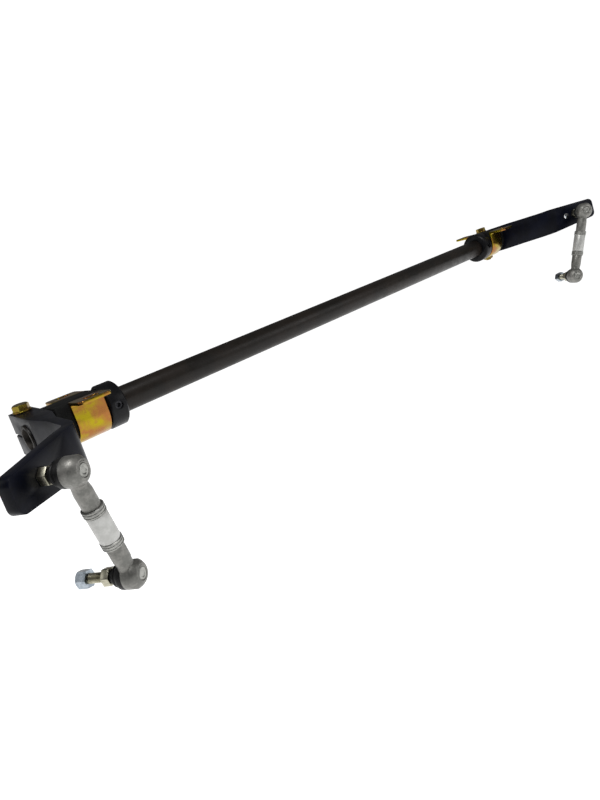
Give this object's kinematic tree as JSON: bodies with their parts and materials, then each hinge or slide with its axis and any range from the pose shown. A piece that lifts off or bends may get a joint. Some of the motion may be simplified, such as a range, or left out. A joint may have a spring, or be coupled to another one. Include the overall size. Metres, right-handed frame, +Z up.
{
  "type": "anti-roll bar",
  "caption": "Straight tubular anti-roll bar with split-hub blade arms, saddle brackets in rubber bushes, lock collars and ball-jointed drop links.",
  "frame": {"origin": "on the bar's axis, midway between its two ends", "axes": "+X along the bar, +Z up to the chassis that the saddles bolt to, the blade arms reach towards -Y"},
  "size_m": [0.9286, 0.1868, 0.1431],
  "materials": {
    "bar_black": "satin black, slightly brown",
    "collar_black": "satin black",
    "screw_black": "black oxide",
    "bush_rubber": "matte moulded rubber",
    "yellow_zinc": "yellow passivated zinc with a pink and green cast",
    "arm_gloss_black": "gloss black powder coat",
    "yellow_zinc_bolt": "yellow passivated zinc",
    "stud_steel": "zinc plated, slightly olive",
    "bright_zinc": "bright zinc",
    "boot_rubber": "matte rubber",
    "cast_grey": "grey phosphate over a forged skin",
    "seat_plastic": "natural acetal",
    "cap_grey": "pressed steel disc",
    "ring_grey": "dark grey steel",
    "sleeve_aluminium": "satin"
  },
  "bodies": {
    "chassis_brackets": {"left_saddle": "yellow_zinc", "left_bush": "bush_rubber", "right_saddle": "yellow_zinc", "right_bush": "bush_rubber"},
    "bar": {"bar_tube": "bar_black", "left_collar": "collar_black", "right_collar": "collar_black", "collar_grub_screws": "screw_black", "left_arm": "arm_gloss_black", "right_arm": "arm_gloss_black", "pinch_bolts": "yellow_zinc_bolt", "pinch_washers": "yellow_zinc_bolt", "pinch_nuts": "yellow_zinc_bolt", "left_upper_stud": "stud_steel", "left_upper_nut": "bright_zinc", "right_upper_stud": "stud_steel", "right_upper_nut": "bright_zinc"},
    "left_upper_swivel": {"left_upper_boot": "boot_rubber"},
    "left_link": {"left_upper_housing": "cast_grey", "left_upper_seat": "seat_plastic", "left_upper_cap": "cap_grey", "left_upper_ring": "ring_grey", "left_sleeve": "sleeve_aluminium", "left_lower_ring": "ring_grey", "left_lower_housing": "cast_grey", "left_lower_seat": "seat_plastic", "left_lower_cap": "cap_grey"},
    "left_lower_swivel": {"left_lower_boot": "boot_rubber"},
    "left_lower_stud": {"left_lower_stud": "stud_steel", "left_lower_nut": "bright_zinc"},
    "right_upper_swivel": {"right_upper_boot": "boot_rubber"},
    "right_link": {"right_upper_housing": "cast_grey", "right_upper_seat": "seat_plastic", "right_upper_cap": "cap_grey", "right_upper_ring": "ring_grey", "right_sleeve": "sleeve_aluminium", "right_lower_ring": "ring_grey", "right_lower_housing": "cast_grey", "right_lower_seat": "seat_plastic", "right_lower_cap": "cap_grey"},
    "right_lower_swivel": {"right_lower_boot": "boot_rubber"},
    "right_lower_stud": {"right_lower_stud": "stud_steel", "right_lower_nut": "bright_zinc"}
  },
  "joints": [
    {"name": "bar_roll", "type": "hinge", "parent": "chassis_brackets", "child": "bar", "pos_m": [0, 0, 0], "axis": [1, 0, 0], "range_deg": [-35, 35]},
    {"name": "left_link_swing", "type": "hinge", "parent": "bar", "child": "left_upper_swivel", "pos_m": [-0.42108, -0.13061, -0.00959], "axis": [0.5736, -0.817, -0.06], "range_deg": [-61.5, 38.5]},
    {"name": "left_link_tilt", "type": "hinge", "parent": "left_upper_swivel", "child": "left_link", "pos_m": [-0.42108, -0.13061, -0.00959], "axis": [-0.8027, -0.546, -0.24], "range_deg": [-15, 15]},
    {"name": "left_stud_tilt", "type": "hinge", "parent": "left_link", "child": "left_lower_swivel", "pos_m": [-0.40524, -0.11258, -0.10358], "axis": [-0.8027, -0.546, -0.24], "range_deg": [-15, 15]},
    {"name": "left_stud_spin", "type": "hinge", "parent": "left_lower_swivel", "child": "left_lower_stud", "pos_m": [-0.40524, -0.11258, -0.10358], "axis": [0.5736, -0.817, -0.06], "continuous": true},
    {"name": "right_link_swing", "type": "hinge", "parent": "bar", "child": "right_upper_swivel", "pos_m": [0.42108, -0.13061, 0.00959], "axis": [0.5736, 0.817, -0.06], "range_deg": [-74, 26]},
    {"name": "right_link_tilt", "type": "hinge", "parent": "right_upper_swivel", "child": "right_link", "pos_m": [0.42108, -0.13061, 0.00959], "axis": [-0.7483, 0.5524, 0.3673], "range_deg": [-15, 15]},
    {"name": "right_stud_tilt", "type": "hinge", "parent": "right_link", "child": "right_lower_swivel", "pos_m": [0.38876, -0.11453, -0.08044], "axis": [-0.7483, 0.5524, 0.3673], "range_deg": [-15, 15]},
    {"name": "right_stud_spin", "type": "hinge", "parent": "right_lower_swivel", "child": "right_lower_stud", "pos_m": [0.38876, -0.11453, -0.08044], "axis": [0.5736, 0.817, -0.06], "continuous": true}
  ]
}
